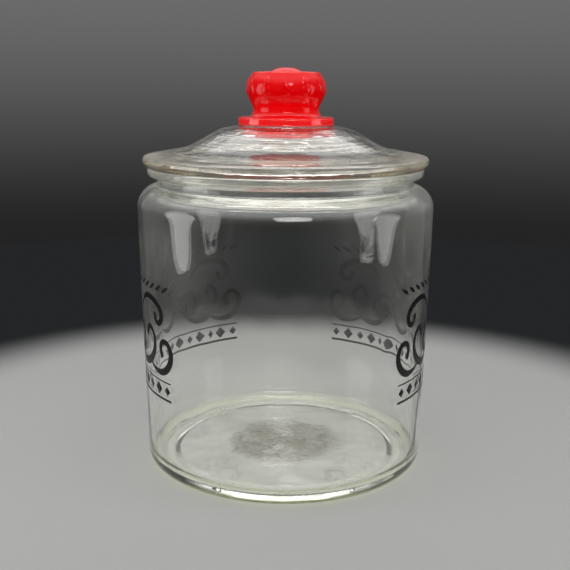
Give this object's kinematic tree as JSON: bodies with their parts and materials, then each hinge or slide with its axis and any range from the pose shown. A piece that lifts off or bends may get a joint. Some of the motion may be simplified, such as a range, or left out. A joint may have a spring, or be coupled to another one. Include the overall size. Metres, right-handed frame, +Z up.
{
  "type": "glass peanut jar",
  "caption": "Round countertop jar of clear pressed glass for peanuts or sweets, with a loose glass lid that drops into the mouth and a red knob.",
  "frame": {"origin": "middle of the foot, on the surface that the jar stands on", "axes": "+Z up along the jar's axis, -Y the front, +X to the right seen from the front"},
  "size_m": [0.19, 0.19, 0.2546],
  "materials": {
    "clear_glass": "polished, clear, slightly aged",
    "lid_glass": "polished, clear, faintly warm at the rim",
    "red_glass": "gloss, opaque red"
  },
  "bodies": {
    "root": {"jar": "clear_glass", "lid": "lid_glass", "knob": "red_glass"}
  },
  "joints": []
}
